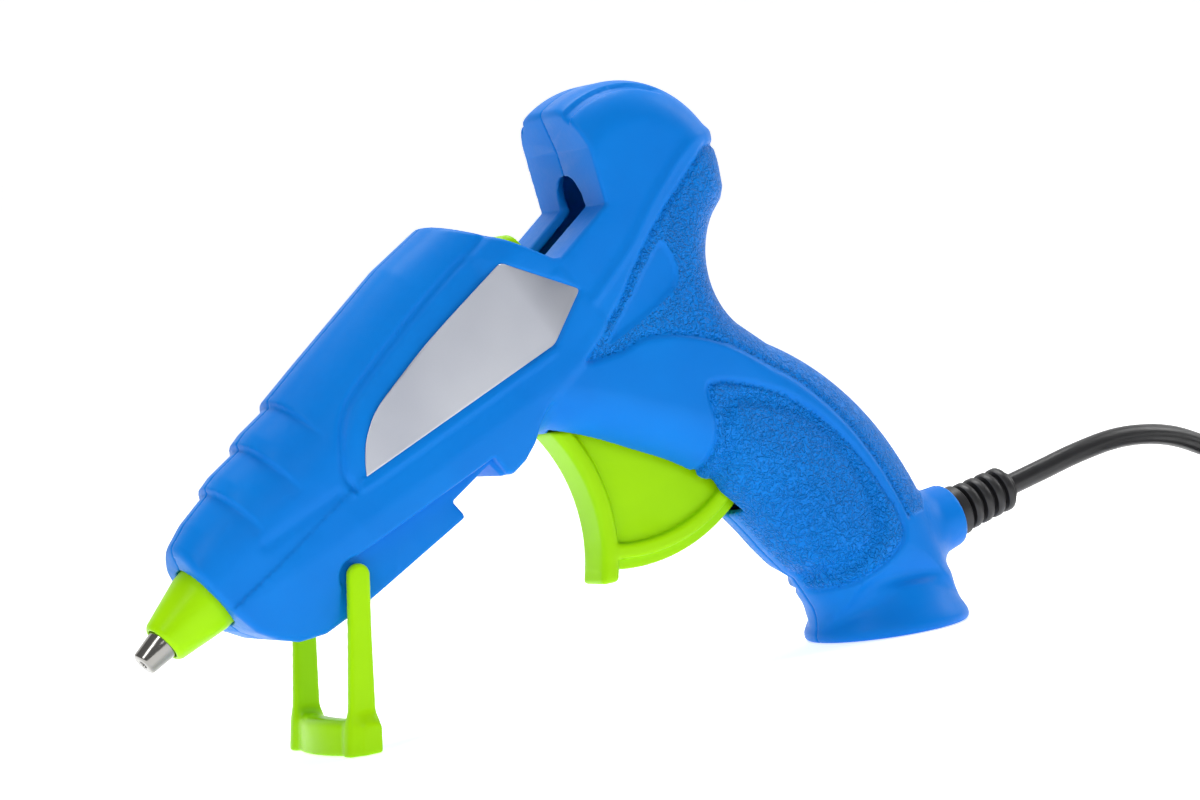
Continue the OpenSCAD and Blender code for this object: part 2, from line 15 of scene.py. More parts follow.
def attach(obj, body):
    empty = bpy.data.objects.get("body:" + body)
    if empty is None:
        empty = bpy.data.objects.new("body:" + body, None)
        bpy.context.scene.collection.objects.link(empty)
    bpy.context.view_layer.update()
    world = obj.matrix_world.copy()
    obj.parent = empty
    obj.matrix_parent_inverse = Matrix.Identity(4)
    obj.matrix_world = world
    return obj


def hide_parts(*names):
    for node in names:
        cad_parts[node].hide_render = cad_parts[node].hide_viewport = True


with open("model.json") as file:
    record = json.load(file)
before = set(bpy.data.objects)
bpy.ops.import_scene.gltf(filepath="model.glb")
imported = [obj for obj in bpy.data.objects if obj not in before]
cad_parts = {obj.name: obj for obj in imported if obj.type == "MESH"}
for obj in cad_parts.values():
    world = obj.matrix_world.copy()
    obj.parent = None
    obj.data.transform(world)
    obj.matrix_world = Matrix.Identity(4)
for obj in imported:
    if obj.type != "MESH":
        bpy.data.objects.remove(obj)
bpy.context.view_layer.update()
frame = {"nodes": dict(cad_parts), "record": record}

MM = 0.001
TILT = math.radians(35)  # nose-down tilt of the glue-stick axis
AXIS_Z = 118.0  # height of that axis at x = 0
TIP_S = 155.4  # the nozzle's end along the axis
TIP_R = 2.7
RELIEF_UP = math.radians(12)  # tilt of the cord where it leaves the handle
RELIEF_FROM = (95.0, 25.4)  # x and z of the end of the cord boss
BOSS_R = 9.2
NOSE_X = -TIP_S * math.cos(TILT) - TIP_R * math.sin(TILT)
BOSS_X = RELIEF_FROM[0] + BOSS_R * math.sin(RELIEF_UP)
CENTRE_X = (NOSE_X + BOSS_X) / 2  # the row frame's origin is midway along the gun


def on_axis(s, r):
    """The x and z of the place s in front of the hump along the stick axis and r above it."""
    return -s * math.cos(TILT) - r * math.sin(TILT), AXIS_Z - s * math.sin(TILT) + r * math.cos(TILT)


def to_row(points):
    """Drawing coordinates in millimetres to the row frame in metres."""
    return (np.asarray(points, float) - (CENTRE_X, 0, 0)) * MM


# ---- Camera ----
def add_camera():
    data = bpy.data.cameras.new("camera")
    camera = bpy.data.objects.new("camera", data)
    bpy.context.scene.collection.objects.link(camera)
    azimuth, elevation, roll = (math.radians(a) for a in (28, 2.8, 8.7))
    level = math.cos(elevation)
    back = Vector((-math.sin(azimuth) * level, -math.cos(azimuth) * level, math.sin(elevation)))
    right = Vector((math.cos(azimuth), -math.sin(azimuth), 0))
    up = back.cross(right)
    rolled_right = right * math.cos(roll) - up * math.sin(roll)
    rolled_up = right * math.sin(roll) + up * math.cos(roll)
    turn = Matrix((rolled_right, rolled_up, back)).transposed().to_4x4()
    place = to_row([(-430.14, -808.98, 114.91)])[0]
    camera.matrix_world = Matrix.Translation(place) @ turn
    data.sensor_width = 36
    data.lens = 112.8
    data.clip_end = 20
    bpy.context.scene.camera = camera


add_camera()


# ---- Materials ----
def srgb(value):
    """A hex colour as linear RGBA."""
    rgb = [int(value[i : i + 2], 16) / 255 for i in (0, 2, 4)]
    return tuple((c / 12.92 if c <= 0.04045 else ((c + 0.055) / 1.055) ** 2.4) for c in rgb) + (1.0,)


class Shader:
    """A small helper that builds one node material."""

    def __init__(self, name, colour, roughness, metallic=0.0, specular=0.5):
        self.material = bpy.data.materials.new(name)
        self.material.use_nodes = True
        self.tree = self.material.node_tree
        self.bsdf = self.tree.nodes["Principled BSDF"]
        self.set("Base Color", colour)
        self.set("Roughness", roughness)
        self.set("Metallic", metallic)
        self.set("Specular IOR Level", specular)
        self.place = self.node("ShaderNodeTexCoord").outputs["Object"]
        self.normal = None

    def set(self, socket, value):
        self.bsdf.inputs[socket].default_value = value

    def node(self, kind, **values):
        made = self.tree.nodes.new(kind)
        for key, value in values.items():
            setattr(made, key, value)
        return made

    def link(self, a, b):
        self.tree.links.new(a, b)

    def noise(self, scale, detail=2.0, roughness=0.5, distortion=0.0, stretch=None):
        texture = self.node("ShaderNodeTexNoise")
        texture.inputs["Scale"].default_value = scale
        texture.inputs["Detail"].default_value = detail
        texture.inputs["Roughness"].default_value = roughness
        texture.inputs["Distortion"].default_value = distortion
        source = self.place
        if stretch:
            mapping = self.node("ShaderNodeMapping")
            mapping.inputs["Scale"].default_value = stretch
            self.link(self.place, mapping.inputs["Vector"])
            source = mapping.outputs["Vector"]
        self.link(source, texture.inputs["Vector"])
        return texture.outputs["Fac"]

    def ramp(self, source, low, high, at=(0.3, 0.7)):
        """Spreads source over two values or colours."""
        ramp = self.node("ShaderNodeMapRange" if not isinstance(low, tuple) else "ShaderNodeValToRGB")
        if isinstance(low, tuple):
            ramp.color_ramp.elements[0].position, ramp.color_ramp.elements[1].position = at
            ramp.color_ramp.elements[0].color, ramp.color_ramp.elements[1].color = low, high
            self.link(source, ramp.inputs["Fac"])
            return ramp.outputs["Color"]
        for key, value in zip(("From Min", "From Max", "To Min", "To Max"), (*at, low, high)):
            ramp.inputs[key].default_value = value
        self.link(source, ramp.inputs["Value"])
        return ramp.outputs["Result"]

    def bump(self, height, strength, distance):
        bump = self.node("ShaderNodeBump")
        bump.inputs["Strength"].default_value = strength
        bump.inputs["Distance"].default_value = distance
        self.link(height, bump.inputs["Height"])
        if self.normal:
            self.link(self.normal, bump.inputs["Normal"])
        self.normal = bump.outputs["Normal"]
        self.link(self.normal, self.bsdf.inputs["Normal"])
        return bump

    def roughness(self, source, low, high):
        self.link(self.ramp(source, low, high), self.bsdf.inputs["Roughness"])

    def colour(self, source, low, high):
        self.link(self.ramp(source, low, high), self.bsdf.inputs["Base Color"])


def product(shader, a, b):
    """Two sockets multiplied."""
    node = shader.node("ShaderNodeMath", operation="MULTIPLY")
    shader.link(a, node.inputs[0])
    shader.link(b, node.inputs[1])
    return node.outputs[0]


def moulded(name, dark, light, roughness, grain, worm=False):
    """Moulded plastic: fine spark grain, and worm grain where the mesh's grip attribute says so."""
    shader = Shader(name, srgb(light), roughness[0], specular=0.13)
    patches = shader.noise(38, 3)
    shader.colour(patches, srgb(dark), srgb(light))
    shader.roughness(shader.noise(700, 3), *roughness)
    shader.bump(shader.noise(3600, 2, 0.6), grain, 0.00012)
    if worm:
        mask = shader.node("ShaderNodeAttribute", attribute_name="grip").outputs["Fac"]
        grain_height = shader.ramp(shader.noise(820, 1.0, 0.4, 1.3), 0.0, 1.0, (0.38, 0.62))
        shader.bump(product(shader, grain_height, mask), 0.9, 0.0006)
    return shader.material


BLUE = moulded("blue_plastic", "0076D6", "007EDE", (0.36, 0.46), 0.22, worm=True)
LIME = moulded("lime_plastic", "A2E200", "ACEA00", (0.3, 0.38), 0.04)


def make_label_material():
    shader = Shader("silver_label", srgb("C0C4CE"), 0.33, metallic=0.7)
    shader.colour(shader.noise(26, 2), srgb("B4B8C4"), srgb("CDD0D8"))
    shader.roughness(shader.noise(2600, 2), 0.30, 0.44)
    shader.bump(shader.noise(4200, 1), 0.12, 0.00006)
    return shader.material


def make_metal(name, colour, roughness, stretch, scale=900):
    """Bare metal with fine tool marks along one direction."""
    shader = Shader(name, srgb(colour), roughness[0], metallic=1.0)
    shader.roughness(shader.noise(scale, 4, 0.6, 0.0, stretch), *roughness)
    shader.bump(shader.noise(scale * 2, 3, 0.6, 0.0, stretch), 0.12, 0.00005)
    return shader.material


def make_plain(name, colour, roughness, scale, strength):
    """Rubber, nylon, ceramic and the like: one colour, with a fine bump."""
    shader = Shader(name, srgb(colour), roughness[0])
    shader.roughness(shader.noise(240, 3), *roughness)
    shader.bump(shader.noise(scale, 3), strength, 0.0001)
    return shader.material


LABEL = make_label_material()
STEEL = make_metal("zinc_steel", "9A9CA0", (0.28, 0.45), (1, 12, 1))
TIP = make_metal("turned_steel", "9A9894", (0.10, 0.2), (1, 1, 1), scale=420)
CAST = make_metal("cast_aluminium", "A9ABAE", (0.42, 0.6), None, scale=500)
BRASS = make_metal("brass_sleeve", "C9A552", (0.3, 0.45), (1, 1, 8))
NICKEL = make_metal("nickel_plate", "C9CACC", (0.12, 0.2), (10, 1, 1))
RUBBER = make_plain("black_rubber", "1B1B1D", (0.38, 0.5), 1400, 0.15)
CORD = make_plain("cord_jacket", "1D1D1F", (0.32, 0.44), 900, 0.12)
NYLON = make_plain("black_nylon", "161617", (0.3, 0.4), 1800, 0.1)
CERAMIC = make_plain("white_ceramic", "D8D2C4", (0.6, 0.75), 1600, 0.2)
SILICONE = make_plain("red_silicone", "A33A26", (0.45, 0.6), 900, 0.12)
WIRE = make_plain("brown_wire", "5A3018", (0.35, 0.5), 900, 0.1)


# ---- Meshes ----
def make_mesh(name, vertices, faces, material, body, sharp_from, attributes=None):
    """A piece from drawing coordinates: placed in the row frame, shaded, and riding on its body."""
    mesh = bpy.data.meshes.new(name)
    vertices = to_row(vertices)
    if isinstance(faces, np.ndarray):
        mesh.vertices.add(len(vertices))
        mesh.vertices.foreach_set("co", vertices.astype(np.float32).ravel())
        mesh.loops.add(faces.size)
        mesh.loops.foreach_set("vertex_index", faces.astype(np.int32).ravel())
        mesh.polygons.add(len(faces))
        mesh.polygons.foreach_set("loop_start", np.arange(0, faces.size, faces.shape[1], dtype=np.int32))
        mesh.update(calc_edges=True)
    else:
        mesh.from_pydata([tuple(v) for v in vertices], [], faces)
    mesh.validate()
    for key, values in (attributes or {}).items():
        layer = mesh.attributes.new(key, "FLOAT", "POINT")
        layer.data.foreach_set("value", np.asarray(values, np.float32))
    mesh.materials.append(material)
    mesh.shade_smooth()
    mesh.set_sharp_from_angle(angle=math.radians(sharp_from))
    piece = bpy.data.objects.new(name, mesh)
    bpy.context.scene.collection.objects.link(piece)
    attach(piece, body)
    return piece


def lathe(profile, origin, direction, sides):
    """A closed turned solid: (distance along, radius) pairs right round its section. Its axis can't be y."""
    direction = np.asarray(direction, float) / np.linalg.norm(direction)
    side = np.cross(direction, (0.0, 1.0, 0.0))
    side /= np.linalg.norm(side)
    up = np.cross(direction, side)
    points, faces = [], []
    for t, r in profile:
        for k in range(sides):
            a = 2 * math.pi * k / sides
            points.append(np.asarray(origin) + t * direction + r * (math.cos(a) * side + math.sin(a) * up))
    for ring in range(0, len(points), sides):
        ahead = (ring + sides) % len(points)
        for k in range(sides):
            m = (k + 1) % sides
            faces.append((ring + k, ring + m, ahead + m, ahead + k))
    return np.array(points), faces


def rounded(profile, radius, steps):
    """The profile with each corner between its ends replaced by a short curve."""
    out = [profile[0]]
    for before, corner, after in zip(profile[:-2], profile[1:-1], profile[2:]):
        b, c, a = (np.array(p, float) for p in (before, corner, after))
        reach = min(radius, np.linalg.norm(b - c) * 0.45, np.linalg.norm(a - c) * 0.45)
        start = c + (b - c) / np.linalg.norm(b - c) * reach
        end = c + (a - c) / np.linalg.norm(a - c) * reach
        for i in range(steps + 1):
            t = i / steps
            out.append(tuple((1 - t) ** 2 * start + 2 * t * (1 - t) * c + t * t * end))
    out.append(profile[-1])
    return out


def smooth_path(points, per_span, closed=False):
    """A Catmull-Rom curve through the points."""
    p = np.asarray(points, float)
    if closed:
        p = np.vstack([p[-1:], p, p[:2]])
    else:
        p = np.vstack([2 * p[0] - p[1], p, 2 * p[-1] - p[-2]])
    out = []
    for a, b, c, d in zip(p[:-3], p[1:-2], p[2:-1], p[3:]):
        for t in np.arange(per_span) / per_span:
            squared, cubed = 2 * a - 5 * b + 4 * c - d, 3 * b - a - 3 * c + d
            out.append(0.5 * (2 * b + (c - a) * t + squared * t**2 + cubed * t**3))
    if not closed:
        out.append(p[-2])
    return np.array(out)


# ---- Cord, coil and plug ----
CORD_D = 5.5
COIL = dict(x=214.0, y=-12.0, mean_r=30.0, floor=0.7, columns=3, rows=2)
COIL_HALF_W = COIL["columns"] / 2 * CORD_D
COIL_TOP = COIL["floor"] + COIL["rows"] * CORD_D
PLUG_PLACE = (221.0, -36.0, 18.7)  # the neck of the plug that lies on the coil


def blend_step(t):
    """0 to 1, with a slow start and end."""
    t = min(max(t, 0.0), 1.0)
    return t * t * (3 - 2 * t)


def coil_point(turned, radius, z):
    """A point of the coil, clockwise by `turned` degrees from where the lead meets it."""
    angle = math.radians(105 - turned)
    return COIL["x"] + radius * math.cos(angle), COIL["y"] + radius * math.sin(angle), z


def cord_descent(radius, low, down_to):
    """The cord's way down inside the coil, from the slope that the lead arrives with to level."""
    first, lead_z, lead_slope = 20, 19.5, -0.4
    for a in np.arange(first, down_to, 10):
        t = a / down_to
        run = lead_slope * radius * math.radians(down_to) * t * (1 - t) ** 2
        yield coil_point(a, radius, lead_z + (low - lead_z) * blend_step(t) + run)


def cord_climb(first, last, middle, high):
    """Up along the middle turn between two angles, then a quarter turn to the plug."""
    bend, top = COIL["y"] - PLUG_PLACE[1], PLUG_PLACE[2]
    centre_x = COIL["x"] + middle - bend
    along = math.radians(last - first) * middle
    climb = along + bend * math.pi / 2
    for step in np.arange(0, climb, 5):
        z = high + (top - high) * blend_step(step / climb)
        if step < along:
            yield coil_point(first + math.degrees(step / middle), middle, z)
        else:
            angle = (step - along) / bend
            yield centre_x + bend * math.cos(angle), COIL["y"] - bend * math.sin(angle), z
    yield centre_x, COIL["y"] - bend, top


def cord_centreline():
    """From the strain relief down inside the coil, five turns in two layers, and up to the plug on it."""
    reach = 20
    start = (RELIEF_FROM[0] + reach * math.cos(RELIEF_UP), 0, RELIEF_FROM[1] + reach * math.sin(RELIEF_UP))
    lead = [start, (125, 0, 31.8), (137, 0, 34.4), (150, 1, 36.0), (162, 3, 35.4), (174, 6.2, 32.9),
            (186, 9.8, 28.4), (197, 12.1, 23.6)]
    middle = COIL["mean_r"]
    inner, outer = middle - CORD_D, middle + CORD_D
    low, high = COIL["floor"] + CORD_D / 2, COIL["floor"] + 1.5 * CORD_D
    down_to, climb_from, climb_to = 200, 1850, 1905
    turns = list(cord_descent(inner, low, down_to))
    # (angle turned, radius, height)
    stations = [(down_to, inner, low), (420, inner, low), (480, middle, low), (780, middle, low),
                (840, outer, low), (1140, outer, low), (1200, outer, high), (1500, outer, high),
                (1560, middle, high), (climb_from, middle, high)]
    for (a0, r0, z0), (a1, r1, z1) in zip(stations[:-1], stations[1:]):
        for a in np.arange(a0, a1, 10):
            mix = blend_step((a - a0) / (a1 - a0))
            turns.append(coil_point(a, r0 + (r1 - r0) * mix, z0 + (z1 - z0) * mix))
    return lead + turns + list(cord_climb(climb_from, climb_to, middle, high))


def make_cord():
    """The cord's object, its centreline in the row frame, and its length in metres."""
    points = to_row(smooth_path(cord_centreline(), 5))
    curve = bpy.data.curves.new("cord", "CURVE")
    curve.dimensions = "3D"
    spline = curve.splines.new("POLY")
    spline.points.add(len(points) - 1)
    for point, place in zip(spline.points, points):
        point.co = (*place, 1)
    curve.bevel_depth = CORD_D / 2 * MM
    curve.bevel_resolution = 5
    curve.use_fill_caps = True
    curve.materials.append(CORD)
    cord = bpy.data.objects.new("cord", curve)
    bpy.context.scene.collection.objects.link(cord)
    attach(cord, "housing")
    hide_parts("cord_tube", "cord_coil")
    length = float(np.linalg.norm(np.diff(points, axis=0), axis=1).sum())
    return cord, points, length


def make_plug():
    """A flat two-pin plug: round neck, waisted grip, rounded front."""
    # (distance from the neck's end, half width, half height)
    stations = [(0, 3.3, 3.3), (1.2, 3.9, 3.9), (9, 4.3, 4.1), (12, 6.2, 4.8), (16, 9.6, 5.7),
                (20, 11.6, 6.2), (26, 11.9, 6.4), (31, 12.3, 6.6), (34.4, 12.6, 6.7), (35.6, 12.2, 6.3),
                (36, 11.2, 5.4)]
    neck_x, centre_y, centre_z = PLUG_PLACE
    waist = 0.97  # how far the grip's sides pull in
    rings, sides = [], 40
    for t, half_y, half_z in stations:
        power = 0.62 if t > 13 else 0.9  # how round the section is: 1 is an ellipse
        for k in range(sides):
            a = 2 * math.pi * k / sides
            c, s = math.cos(a), math.sin(a)
            y = half_y * math.copysign(abs(c) ** power, c)
            z = half_z * math.copysign(abs(s) ** power, s)
            if 20.5 < t < 32 and abs(c) > 0.8:
                y *= waist
            rings.append((neck_x - t, centre_y + y, centre_z + z))
    faces = []
    for i in range(len(stations) - 1):
        for k in range(sides):
            a, b = i * sides + k, i * sides + (k + 1) % sides
            faces.append((a, b, b + sides, a + sides))
    faces.append(tuple(range(sides))[::-1])
    faces.append(tuple((len(stations) - 1) * sides + k for k in range(sides)))
    plug = make_mesh("plug_body", rings, faces, RUBBER, "housing", 50)
    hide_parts("plug")
    return plug


def make_strain_relief():
    """A collar and four rounded rings on a sleeve."""
    direction = (math.cos(RELIEF_UP), 0, math.sin(RELIEF_UP))
    origin = (RELIEF_FROM[0], 0, RELIEF_FROM[1])
    profile = [(-7.5, 2.9), (-7.5, 5.4), (0.4, 5.4), (0.5, 6.5), (3.0, 6.6), (3.6, 6.0), (4.2, 4.5),
               (5.0, 4.3)]
    first, pitch, radius_0, taper = 4.7, 3.65, 6.1, 0.08
    for rib in range(4):
        t = first + rib * pitch
        radius = radius_0 - rib * taper
        profile += [(t, 4.3), (t + 0.15, radius - 0.3), (t + 0.6, radius), (t + 1.9, radius),
                    (t + 2.35, radius - 0.3), (t + 2.5, 4.2)]
    profile += [(19.0, 4.2), (19.6, 3.9), (19.9, 3.3), (19.9, 2.85), (-7.5, 2.85)]
    vertices, faces = lathe(profile, origin, direction, 64)
    sleeve = make_mesh("strain_relief_sleeve", vertices, faces, RUBBER, "housing", 35)
    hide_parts("strain_relief")
    return sleeve


def make_tie():
    """A flat tie strap round the coil's section."""
    cx, cy, angle = COIL["x"], COIL["y"], math.radians(60)
    out = np.array([math.cos(angle), math.sin(angle), 0])
    along = np.array([-math.sin(angle), math.cos(angle), 0])
    low, high, clear, half_width, thickness = COIL["floor"], COIL_TOP, 0.05, 2.4, 0.55
    inner, outer = COIL["mean_r"] - COIL_HALF_W - clear, COIL["mean_r"] + COIL_HALF_W + clear
    corners = [(inner, 6), (inner, low), (outer, low), (outer, high), (inner, high), (inner, 6)]
    loop = rounded(corners, 2.2, 5)[:-1]
    vertices, n = [], len(loop)
    centre = np.array([COIL["mean_r"], (low + high) / 2])
    for r, z in loop:
        away = np.array([r, z]) - centre
        away = away / np.linalg.norm(away) * thickness
        for side, thick in ((-1, 0), (1, 0), (1, 1), (-1, 1)):
            p = np.array([cx, cy, 0]) + out * (r + away[0] * thick) + along * side * half_width
            vertices.append((p[0], p[1], max(z + away[1] * thick, 0.1)))
    faces = [
        (i * 4 + k, i * 4 + (k + 1) % 4, (i + 1) % n * 4 + (k + 1) % 4, (i + 1) % n * 4 + k)
        for i in range(n)
        for k in range(4)
    ]
    tie = make_mesh("tie_strap", vertices, faces, NYLON, "housing", 40)
    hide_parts("cord_tie")
    return tie


cord, cord_points, cord_length = make_cord()
plug = make_plug()
relief = make_strain_relief()
tie = make_tie()


# ---- Signed distance fields ----
def segment_distance(x, z, a, b):
    """Distance to the straight piece from a to b."""
    ax, az, bx, bz = *a, *b
    dx, dz = bx - ax, bz - az
    t = np.clip(((x - ax) * dx + (z - az) * dz) / (dx * dx + dz * dz), 0, 1)
    return np.hypot(x - ax - t * dx, z - az - t * dz)


def line_distance(points, x, z):
    """Distance to an open line through the points."""
    nearest = np.full(x.shape, 1e3)
    for a, b in zip(points[:-1], points[1:]):
        np.minimum(nearest, segment_distance(x, z, a, b), out=nearest)
    return nearest


def polygon_distance(points, x, z):
    """Signed distance to a closed polygon, negative inside."""
    points = [tuple(p) for p in points]
    inside = np.zeros(x.shape, bool)
    for (ax, az), (bx, bz) in zip(points, points[1:] + points[:1]):
        if az != bz:
            inside ^= ((az > z) != (bz > z)) & (x < (bx - ax) * (z - az) / (bz - az) + ax)
    distance = line_distance(points + points[:1], x, z)
    return np.where(inside, -distance, distance)


def both(a, b, radius):
    """The overlap of two solids, its edge rounded."""
    outside = np.hypot(np.maximum(a + radius, 0), np.maximum(b + radius, 0)) - radius
    return np.where((a > -radius) & (b > -radius), outside, np.maximum(a, b))


def join(a, b, blend):
    """Two solids joined, with a fillet."""
    return -both(-a, -b, blend)


def crowned(flat, side, depth, height):
    """The overlap of an outline and a slab, its edge rounded to an ellipse of depth and height."""
    u = np.maximum(flat / depth + 1, 0)
    v = np.maximum(side / height + 1, 0)
    k = np.maximum(np.hypot(u, v), 1e-6)
    slope = np.maximum(np.hypot(u / depth, v / height), 1e-6)
    edge = (k - 1) * k / slope
    return np.where((u > 0) & (v > 0), edge, np.maximum(flat, side))


def mark(distance, half_width):
    """A smooth bump, 1 on the line and 0 beyond about twice half_width."""
    return np.exp(-((distance / half_width) ** 2))


def soft_step(values, low, high):
    """0 below low and 1 above high, smooth between them."""
    t = np.clip((values - low) / (high - low), 0, 1)
    return t * t * (3 - 2 * t)


def arc(centre, radius, start, end, count):
    """Points of a circle's arc, its angles in degrees."""
    return [
        (centre[0] + radius * math.cos(math.radians(a)), centre[1] + radius * math.sin(math.radians(a)))
        for a in np.linspace(start, end, count)
    ]


class Field:
    """A grid of distances over a box of space."""

    def __init__(self, low, high, step):
        self.low, self.step = np.array(low, float), step
        self.axes = [np.arange(a, b + step, step) for a, b in zip(low, high)]
        self.x, self.z = np.meshgrid(self.axes[0], self.axes[2], indexing="ij")
        self.y = self.axes[1][None, :, None]

    def deep(self, flat):
        """A field over x and z, held constant across y."""
        return flat[:, None, :]


def surface(field, values):
    """Vertices and quads of the zero surface: one vertex in each cell that it crosses."""
    inside = values < 0
    n = np.array(values.shape) - 1
    count = np.zeros(n, np.int8)
    for i in (0, 1):
        for j in (0, 1):
            for k in (0, 1):
                count += inside[i : i + n[0], j : j + n[1], k : k + n[2]]
    cells = np.argwhere((count > 0) & (count < 8))
    index = np.full(n, -1, np.int32)
    index[tuple(cells.T)] = np.arange(len(cells))
    total, hits = np.zeros((len(cells), 3)), np.zeros(len(cells))
    unit = np.eye(3, dtype=int)
    for axis in range(3):
        u, v = unit[(axis + 1) % 3], unit[(axis + 2) % 3]
        for a in (0, 1):
            for b in (0, 1):
                corner = cells + a * u + b * v
                start, end = values[tuple(corner.T)], values[tuple((corner + unit[axis]).T)]
                crossed = (start < 0) != (end < 0)
                t = start[crossed] / (start[crossed] - end[crossed])
                total[crossed] += corner[crossed] + t[:, None] * unit[axis]
                hits[crossed] += 1
    vertices = total / hits[:, None] * field.step + field.low
    quads = []
    for axis in range(3):
        u, v = unit[(axis + 1) % 3], unit[(axis + 2) % 3]
        size = list(values.shape)
        size[axis] -= 1
        now = inside[tuple(slice(0, m) for m in size)]
        ahead = inside[tuple(slice(1 if i == axis else 0, None) for i in range(3))]
        edges = np.argwhere(now != ahead)
        keep = np.all((edges - u - v >= 0) & (edges < n), axis=1)
        edges = edges[keep]
        around = [index[tuple(c.T)] for c in (edges, edges - u, edges - u - v, edges - v)]
        quad = np.stack(around, axis=1)
        flip = now[tuple(edges.T)]
        quad[~flip] = quad[~flip][:, ::-1]
        quads.append(quad[:, ::-1])
    return vertices, np.vstack(quads)


def sampled(field, flat, vertices):
    """A field over x and z, read at the vertices."""
    i = np.clip(np.rint((vertices[:, 0] - field.low[0]) / field.step).astype(int), 0, flat.shape[0] - 1)
    k = np.clip(np.rint((vertices[:, 2] - field.low[2]) / field.step).astype(int), 0, flat.shape[1] - 1)
    return flat[i, k]


def lighter(piece, ratio):
    """The piece with its flat areas merged, since a grid's surface has far more faces than it needs."""
    piece.modifiers.new("merge", "DECIMATE").ratio = ratio
    graph = bpy.context.evaluated_depsgraph_get()
    mesh = bpy.data.meshes.new_from_object(piece.evaluated_get(graph))
    piece.modifiers.clear()
    piece.data = mesh
    mesh.shade_smooth()
    mesh.set_sharp_from_angle(angle=math.radians(50))


# ---- Housing ----
HALF_W = 17.4
WALL, SOLE = 2.2, 2.4  # thickness of the shells, and under the foot
LABEL_Y = 17.06  # the floor of a label's recess
STAND_PIVOT = (108, -18.3)  # along and above the stick axis
STAND_X, STAND_Z = on_axis(*STAND_PIVOT)
LEAN = math.radians(8)  # of the stand's legs
TRIGGER_PIVOT = (2.0, 73.0)
FINGER = (-50.0, 38.0)  # the centre of the arc that the finger pulls on
ARM, ARM_LEAN = 28.0, math.radians(10)  # the trigger's arms, up to the pin that moves the carriage
FOOT_X = 71.7

# arcs of the handle's outline, as (centre, radius)
HUMP, WAIST = ((11.8, 119.4), 27.2), ((51.8, 98.5), 20.0)
BACK, FRONT = ((6.0, 3.8), 84.0), ((-43.4, -28.4), 96.3)

# (x and z, radius of the post, y of the top of the screw head)
SCREWS = [
    (on_axis(s, r), 4.6, top)
    for s, r, top in ((46, 17.2, 9.6), (108, 13.4, 8.6), (59.5, -25.2, 11.5), (127, -14, 11.5))
] + [((21, 103), 4.6, 11.5), ((50, 63), 3.7, 11.5), ((66, 11.5), 4.6, 11.5)]

# lines on the flank, as (x, z)
CREST = [(-31, 114), (-43.8, 105), (-54.9, 96.5), (-70.6, 83), (-75.2, 76.8), (-77, 71), (-77.7, 64.6),
         (-75.6, 60.6)]
PANEL_EDGE = [(-76.2, 59.8), (-71.1, 61.6), (-19.6, 84)]
RIDGE = [(-104, 39.5), (-16.1, 79)]
NOSE_CREASE = [(-99, 51.6), (-80, 60.2)]
LABEL_OUTLINE = [(-30, 107.1), (-10.1, 98), (-18.9, 86), (-72.5, 63.1), (-72.2, 66.9), (-71, 71.8),
                 (-67.6, 77.7), (-61, 83.8), (-49.9, 92.9)]
HUMP_RIDGE = [(42, 130.8), (28.4, 130), (14.8, 117.8), (5.3, 106.1), (-6.6, 94.8)]
HUMP_LINE = [(42, 127.6), (33, 127.6), (28.5, 126), (13.6, 111), (5.3, 100.4), (0.7, 93.7), (-11, 80.8)]
BACK_LINE = [(-9.4, 80.7), (-0.8, 82), (5.4, 83.9), (13.7, 83.7), (21.8, 81.7), (30.3, 78.1), (39.2, 72.5),
             (48.1, 66.3), (56.7, 57.7), (62.2, 50.5), (67.5, 41.5), (70.9, 34), (72.8, 29)]
LEAF = [(13.9, 106.3), (16.7, 102.5), (17, 95.9), (10, 90.5), (-3.5, 83.8), (-3, 87), (4, 95), (9, 101.5)]
GRIP_OUTER = [(15.1, 46.6), (18, 48.1), (20.4, 51.1), (21.8, 55.3), (22.1, 60.4), (21.3, 65), (21, 69),
              (22.5, 70.2), (27.6, 69.7), (35.1, 67.4), (43.1, 63.6), (51.9, 56.7), (57.6, 50.6), (63, 42.8),
              (67.1, 35.2), (69.6, 30.1), (70.1, 24.8), (67.4, 21.2), (61.9, 17.6), (54.6, 14.9),
              (47.7, 14.1), (43.1, 14.6), (36, 16.5)]
GRIP_GROOVE = [(21.5, 42), (23.3, 44.9), (24.9, 50.3), (25.2, 55.9), (25.1, 62.7), (28.2, 65.4),
               (34.5, 64.4), (44.5, 60.2), (51.6, 54.5), (57, 47.3), (61.1, 39.7), (63.2, 32.4),
               (62.1, 26.2), (57.9, 21.8), (52, 18.8), (45.2, 18.3), (38.7, 19.5), (34, 21)]
# each scale step's place along the stick axis, and how far above it the step fades out
SCALES = ((91.3, 9.5), (103.8, 5.0), (116.6, 4.0))


def stick_frame(x, z):
    """How far along the stick axis and above it, for x and z."""
    s = -x * math.cos(TILT) - (z - AXIS_Z) * math.sin(TILT)
    r = -x * math.sin(TILT) + (z - AXIS_Z) * math.cos(TILT)
    return s, r


def line_side(points, x, z):
    """Signed distance above the straight line through two points."""
    (ax, az), (bx, bz) = points
    length = math.hypot(bx - ax, bz - az)
    return ((z - az) * (bx - ax) - (x - ax) * (bz - az)) / length


